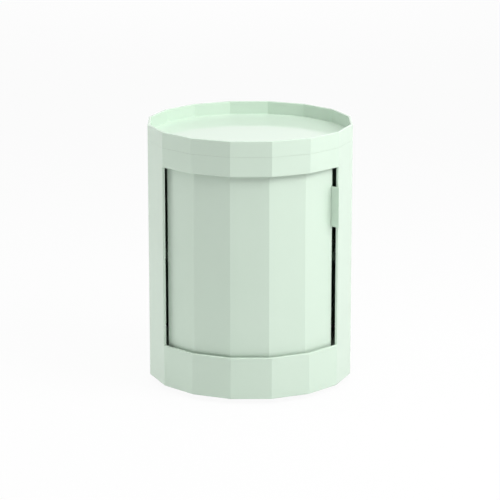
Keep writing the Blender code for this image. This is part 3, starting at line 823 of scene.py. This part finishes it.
def makeCollar(number):
    node = f"shelf_collar_{number}"
    low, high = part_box(node)
    radius, bore, edge = collar["radius"], collar["bore"], collar["edge"]
    centre = middle(node)
    bm = bmesh.new()
    outline = [(radius, high.z, edge), (radius, low.z, edge), (bore, low.z, edge), (bore, high.z, edge)]
    turned(bm, outline, place=Matrix.Translation((*centre.xy, 0)))
    # grub screw, on the side towards the cabinet's middle
    inward = Vector((-centre.x, -centre.y, 0)).normalized()
    seat = centre + inward * (radius - collar["sunk"])
    place = Matrix.Translation(seat) @ inward.to_track_quat("Z", "Y").to_matrix().to_4x4()
    wide, top = collar["screw"], collar["sunk"] + collar["proud"]
    outline = [
        (0, top, 0),
        (collar["screwFlat"], top, 0),
        (wide, top, collar["proud"]),
        (wide, 0, 0),
        (0, 0, 0),
    ]
    turned(bm, outline, collar["screwSteps"], place, (collar["socket"], collar["socketDepth"]))
    piece = addPiece(f"shelfCollar{number}", bm, "cabinet", "zinc", [node], crease=lathe["crease"])
    evenOut(piece)


for number in range(1, 5):
    makePost(number)
    makeCollar(number)


# button-head screws up through ceiling and shell into the tray
screw = {
    "shank": 0.0025,
    "head": 0.00475,
    "headHeight": 0.0025,
    "dome": 0.0014,
    "flat": 0.00192,  # flat round the socket
    "headEdge": 0.0002,
    "tip": 0.0005,
    "socket": 0.0016,
    "depth": 0.0014,  # of the socket
    "steps": 36,
}


def makeScrew(number):
    node = f"tray_screw_{number}"
    low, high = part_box(node)
    seat = low.z + screw["headHeight"]
    length = high.z - 2 * gap - seat
    outline = [
        (0, screw["headHeight"], 0),
        (screw["flat"], screw["headHeight"], 0),
        (screw["head"], screw["headHeight"], screw["dome"]),
        (screw["head"], 0, screw["headEdge"]),
        (screw["shank"], 0, 0),
        (screw["shank"], -length, screw["tip"]),
        (0, -length, 0),
    ]
    place = Matrix.Translation((*middle(node).xy, seat)) @ Matrix.Rotation(pi, 4, "X")
    socket = (screw["socket"], screw["depth"])
    turnedPiece(f"trayScrew{number}", node, outline, place, "cabinet", "zinc", screw["steps"], socket)


for number in range(1, 5):
    makeScrew(number)
print("rails, posts and screws made")


# pieces that keep their CAD shape and get rounded edges
rounding = {
    "glide": 0.0006,
    "stop": 0.0009,
    "nut": 0.0005,
    "steps": 3,
    "flatAngle": 1,  # degrees up to which faces are joined
    "edgeAngle": 30,  # degrees from which an edge is rounded
}


def softCopy(name, node, body, finish, width):
    bm = bmesh.new()
    bm.from_mesh(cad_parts[node].data)
    bmesh.ops.remove_doubles(bm, verts=bm.verts, dist=near)
    flatAngle, edgeAngle = radians(rounding["flatAngle"]), radians(rounding["edgeAngle"])
    bmesh.ops.dissolve_limit(bm, angle_limit=flatAngle, verts=bm.verts, edges=bm.edges)
    edges = [e for e in bm.edges if e.is_manifold and e.calc_face_angle() > edgeAngle]
    bmesh.ops.bevel(
        bm, geom=edges, offset=width, segments=rounding["steps"], profile=0.5, affect="EDGES",
        clamp_overlap=True, material=-1,
    )
    evenOut(addPiece(name, bm, body, finish, [node], crease=lathe["crease"]))


for number in (1, 2):
    for end in ("head", "foot"):
        node = f"door_{end}_glide_{number}"
        softCopy(f"{end}Glide{number}", node, "door", "whiteNylon", rounding["glide"])
softCopy("closedStop", "stop_closed", "cabinet", "stopRubber", rounding["stop"])
softCopy("openStop", "stop_open", "cabinet", "stopRubber", rounding["stop"])
print("glides and stops made")


# swivel castors
stem = {
    "pin": 0.004,
    "head": 0.0065,
    "headHeight": 0.003,
    "flange": 0.012,
    "flangeHeight": 0.003,
    "edge": 0.0005,
    "headEdge": 0.00025,
    "headRound": 0.0015,
}
fork = {
    "sheet": 0.0025,
    "bend": 0.004,
    "crown": 0.028,  # crown's length
    "endRadius": 0.008,  # round end of each leg
    "endShare": 0.999,  # just under half the end's width for each rounding
    "endSteps": 10,
    "edge": 0.0004,
    "pinHole": 0.0043,  # radius, as the next
    "axleHole": 0.0033,
}
axle = {"pin": 0.003, "head": 0.005, "headHeight": 0.0015, "dome": 0.0011, "steps": 36}
wheel = {
    "steps": 48,
    "bore": 0.0033,
    "boss": 0.007,
    "web": 0.005,  # half the web's thickness
    "rim": 0.0037,
    "lip": 0.001,  # tyre wider than the rim, each side
    "fillet": 0.0007,
    "pockets": 6,
    "spoke": 2,  # steps that a spoke takes
    "pocketEdge": 0.0007,
    "pocketDepth": 0.0018,
}
tyre = {
    "thickness": 0.004,
    "shoulder": 0.003,
    "sideDrop": 0.001,  # side's upper edge below the crown
    "sideRound": 0.0018,
    "crownRound": 0.0024,
    "seatEdge": 0.0003,
    "ridge": 0.00015,
    "ridgeWidth": 0.0004,
    "steps": 72,
}


def makeStem(number):
    node = f"caster_stem_{number}"
    low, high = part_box(node)
    pin, edge = stem["pin"], stem["edge"]
    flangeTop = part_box("base_pan")[1].z - pans["basePan"]["sheet"] - gap
    flangeLow = flangeTop - stem["flangeHeight"]
    headTop = low.z + stem["headHeight"]
    outline = [
        (0, high.z, 0),
        (pin, high.z, edge),
        (pin, flangeTop, 0),
        (stem["flange"], flangeTop, edge),
        (stem["flange"], flangeLow, edge),
        (pin, flangeLow, 0),
        (pin, headTop, 0),
        (stem["head"], headTop, stem["headEdge"]),
        (stem["head"], low.z, stem["headRound"]),
        (0, low.z, 0),
    ]
    place = Matrix.Translation((*middle(node).xy, 0))
    turnedPiece(f"casterStem{number}", node, outline, place, "cabinet", "zinc")


def tangentFoot(start, centre, radius, side):
    # where the tangent from start to the leg's round end meets the level below that end
    way = (centre[0] - start[0], centre[1] - start[1])
    lean = atan2(way[1], way[0]) + side * asin(radius / hypot(*way))
    return start[0] + (centre[1] - radius - start[1]) / tan(lean)


def makeFork(number):
    node = f"caster_fork_{number}"
    low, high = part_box(node)
    swivel, hub = middle(f"caster_stem_{number}"), middle(f"caster_wheel_{number}")
    bend, half, ends = fork["bend"], (high.x - low.x) / 2, fork["endRadius"]
    shoulder = high.z - bend
    bm = bmesh.new()
    # a leg's upper edge, carried over the crown to the other leg
    ways = [s * fork["crown"] / 2 for s in (-1, 1)]
    verts = [bm.verts.new((swivel.x - half, swivel.y + way, shoulder)) for way in ways]
    first = [bm.edges.new(verts)]
    profile = arc((bend - half, shoulder), bend, 180, 90)[1:] + arc((half - bend, shoulder), bend, 90, 0)
    last, x, z = first, -half, shoulder
    for nextX, nextZ in profile:
        verts, last = grow(bm, last)
        bmesh.ops.translate(bm, vec=(nextX - x, 0, nextZ - z), verts=verts)
        x, z = nextX, nextZ
    crown = max(bm.faces, key=lambda face: face.calc_area())
    punch(bm, crown, [Vector((swivel.x, swivel.y, high.z))], fork["pinHole"])
    for edges in (first, last):
        verts, _ = grow(bm, edges)
        for vert in verts:
            side = 1 if vert.co.y > swivel.y else -1
            foot = tangentFoot((vert.co.y, shoulder), (hub.y, hub.z), ends, side)
            vert.co.y, vert.co.z = foot, hub.z - ends
        for vert in verts:
            bmesh.ops.bevel(
                bm, geom=[vert], offset=abs(vert.co.y - hub.y) * fork["endShare"],
                segments=fork["endSteps"], profile=0.5, affect="VERTICES", material=-1,
            )
    for s in (-1, 1):
        leg = max(bm.faces, key=lambda face: s * face.calc_center_median().x)
        punch(bm, leg, [Vector((swivel.x + s * half, hub.y, hub.z))], fork["axleHole"])
    piece = addPiece(f"casterFork{number}", bm, f"caster_{number}", "zinc", [node], Vector((0, 0, 1)))
    thicken(piece, fork["sheet"], fork["edge"])


def alongAxle(number):
    return Matrix.Translation(middle(f"caster_wheel_{number}")) @ Matrix.Rotation(pi / 2, 4, "Y")


def makeAxle(number):
    node = f"caster_axle_{number}"
    low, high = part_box(node)
    reach = (high.x - low.x) / 2
    seat = reach - axle["headHeight"]
    head, pin = axle["head"], axle["pin"]
    half = [(0, reach, 0), (head, reach, axle["dome"]), (head, seat, 0), (pin, seat, 0)]
    outline = half + [(radius, -z, edge) for radius, z, edge in reversed(half)]
    place, body = alongAxle(number), f"caster_{number}"
    turnedPiece(f"casterAxle{number}", node, outline, place, body, "zinc", axle["steps"])


def makeWheel(number):
    node = f"caster_wheel_{number}"
    low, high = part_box(node)
    rim, wide = (high.z - low.z) / 2, (high.x - low.x) / 2
    web, fillet = wheel["web"], wheel["fillet"]
    inside = rim - wheel["rim"]
    half = [
        (wheel["bore"], wide, fillet / 2),
        (wheel["boss"], wide, fillet),
        (wheel["boss"], web, fillet),
        (inside, web, fillet),
        (inside, wide - wheel["lip"], fillet / 2),
        (rim, wide - wheel["lip"], fillet / 3),
    ]
    bm = bmesh.new()
    turned(bm, half + [(radius, -z, edge) for radius, z, edge in reversed(half)], wheel["steps"])
    # pockets in the web, with a spoke left between each two
    span = wheel["steps"] // wheel["pockets"]
    pockets = []
    for face in bm.faces:
        centre = face.calc_center_median()
        step = int((atan2(centre.y, centre.x) % (2 * pi)) / (2 * pi) * wheel["steps"]) % span
        if abs(abs(centre.z) - web) < near and step >= wheel["spoke"]:
            pockets.append(face)
    bmesh.ops.recalc_face_normals(bm, faces=bm.faces)
    bmesh.ops.inset_region(
        bm, faces=pockets, thickness=wheel["pocketEdge"], depth=-wheel["pocketDepth"],
        use_even_offset=True,
    )
    bmesh.ops.transform(bm, matrix=alongAxle(number), verts=bm.verts)
    body, crease = f"wheel_{number}", lathe["crease"]
    evenOut(addPiece(f"casterWheel{number}", bm, body, "greyPlastic", [node], crease=crease))


def makeTyre(number):
    node = f"caster_tyre_{number}"
    low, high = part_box(node)
    tread, wide = (high.z - low.z) / 2, (high.x - low.x) / 2
    seat = tread - tyre["thickness"]
    crown, ridge = tread - tyre["ridge"], tyre["ridgeWidth"]
    half = [
        (seat, wide - wheel["lip"], tyre["seatEdge"]),
        (crown - tyre["sideDrop"], wide, tyre["sideRound"]),
        (crown, wide - tyre["shoulder"], tyre["crownRound"]),
        (crown, ridge, 0),
        (tread, ridge / 2, 0),
    ]
    outline = half + [(radius, -z, edge) for radius, z, edge in reversed(half)]
    place, body = alongAxle(number), f"wheel_{number}"
    turnedPiece(f"casterTyre{number}", node, outline, place, body, "treadRubber", tyre["steps"])


for number in range(1, 5):
    makeStem(number)
    softCopy(f"casterNut{number}", f"caster_nut_{number}", "cabinet", "zinc", rounding["nut"])
    makeFork(number)
    makeAxle(number)
    makeWheel(number)
    makeTyre(number)
print("castors made")


# pale floor, white to the camera, and soft light from all round
stage = {
    "reach": 8.0,
    "drop": 0.0002,  # floor below the wheels
    "floor": (0.86, 0.86, 0.86, 1.0),
    "white": (1.0, 1.0, 1.0, 1.0),
    "glow": 0.94,  # share of plain white in what the camera sees of the floor
    "ambient": (0.10, 0.10, 0.10, 1.0),  # what lights the object from all round
}


def seenRays(tree):
    # rays that show the background itself: straight from the camera, mirrored or through glass
    rays = addNode(tree, "ShaderNodeLightPath").outputs
    seen = calc(tree, "MAXIMUM", rays["Is Camera Ray"], rays["Is Glossy Ray"])
    return calc(tree, "MAXIMUM", seen, rays["Is Transmission Ray"])


def makeWorld():
    world = bpy.data.worlds.new("softRoom")
    world.use_nodes = True
    tree = world.node_tree
    tree.nodes.clear()
    ambient = addNode(tree, "ShaderNodeBackground", {"Color": stage["ambient"]})
    white = addNode(tree, "ShaderNodeBackground", {"Color": stage["white"]})
    sockets = {0: seenRays(tree), 1: ambient.outputs[0], 2: white.outputs[0]}
    mixed = addNode(tree, "ShaderNodeMixShader", sockets)
    addNode(tree, "ShaderNodeOutputWorld", {"Surface": mixed.outputs[0]})
    scene.world = world


def makeFloor():
    material = bpy.data.materials.new("paleFloor")
    material.use_nodes = True
    tree = material.node_tree
    tree.nodes.clear()
    matt = addNode(tree, "ShaderNodeBsdfDiffuse", {"Color": stage["floor"]})
    white = addNode(tree, "ShaderNodeEmission", {"Color": stage["white"]})
    share = calc(tree, "MULTIPLY", seenRays(tree), stage["glow"])
    top = addNode(tree, "ShaderNodeMixShader", {0: share, 1: matt.outputs[0], 2: white.outputs[0]})
    under = addNode(tree, "ShaderNodeNewGeometry").outputs["Backfacing"]
    clear = addNode(tree, "ShaderNodeBsdfTransparent")
    both = addNode(tree, "ShaderNodeMixShader", {0: under, 1: top.outputs[0], 2: clear.outputs[0]})
    addNode(tree, "ShaderNodeOutputMaterial", {"Surface": both.outputs[0]})
    bm = bmesh.new()
    bmesh.ops.create_grid(bm, x_segments=1, y_segments=1, size=stage["reach"])
    mesh = bpy.data.meshes.new("paleFloor")
    bm.to_mesh(mesh)
    bm.free()
    mesh.materials.append(material)
    floor = bpy.data.objects.new("paleFloor", mesh)
    floor.location.z = cadBox[0].z - stage["drop"]
    scene.collection.objects.link(floor)


# soft boxes on stands and overhead, and two reflecting cards on the floor
lamps = {
    "keyBox": {"bearing": 62, "away": 2.0, "height": 1.9, "size": 1.6, "power": 42},
    "topBox": {"bearing": 0, "away": 0.0, "height": 2.6, "size": 2.2, "power": 23},
    "frontBox": {"bearing": 0, "away": 1.6, "height": 2.4, "size": 1.8, "power": 14},
    "rightBox": {"bearing": 95, "away": 2.6, "height": 0.9, "size": 1.8, "power": 10},
    "leftBox": {"bearing": -100, "away": 2.6, "height": 0.9, "size": 1.8, "power": 10},
    "backBox": {"bearing": 180, "away": 5.5, "height": 1.7, "size": 3.0, "power": 50},
    "leftCard": {"bearing": -100, "away": 2.2, "height": 0.3, "size": 0.6, "power": 10},
    "frontCard": {"bearing": -10, "away": 2.6, "height": 0.3, "size": 0.6, "power": 5},
}


def addLamp(name, look):
    data = bpy.data.lights.new(name, "AREA")
    data.shape = "DISK"
    data.size = look["size"]
    data.energy = look["power"]
    lamp = bpy.data.objects.new(name, data)
    turn = radians(look["bearing"])
    lamp.location = (look["away"] * sin(turn), -look["away"] * cos(turn), look["height"])
    aim = (cadBox[0] + cadBox[1]) / 2 - lamp.location
    lamp.rotation_euler = aim.to_track_quat("-Z", "Y").to_euler()
    lamp.visible_camera = False
    lamp.visible_glossy = False
    scene.collection.objects.link(lamp)


makeWorld()
makeFloor()
for name, look in lamps.items():
    addLamp(name, look)
print("stage lit")
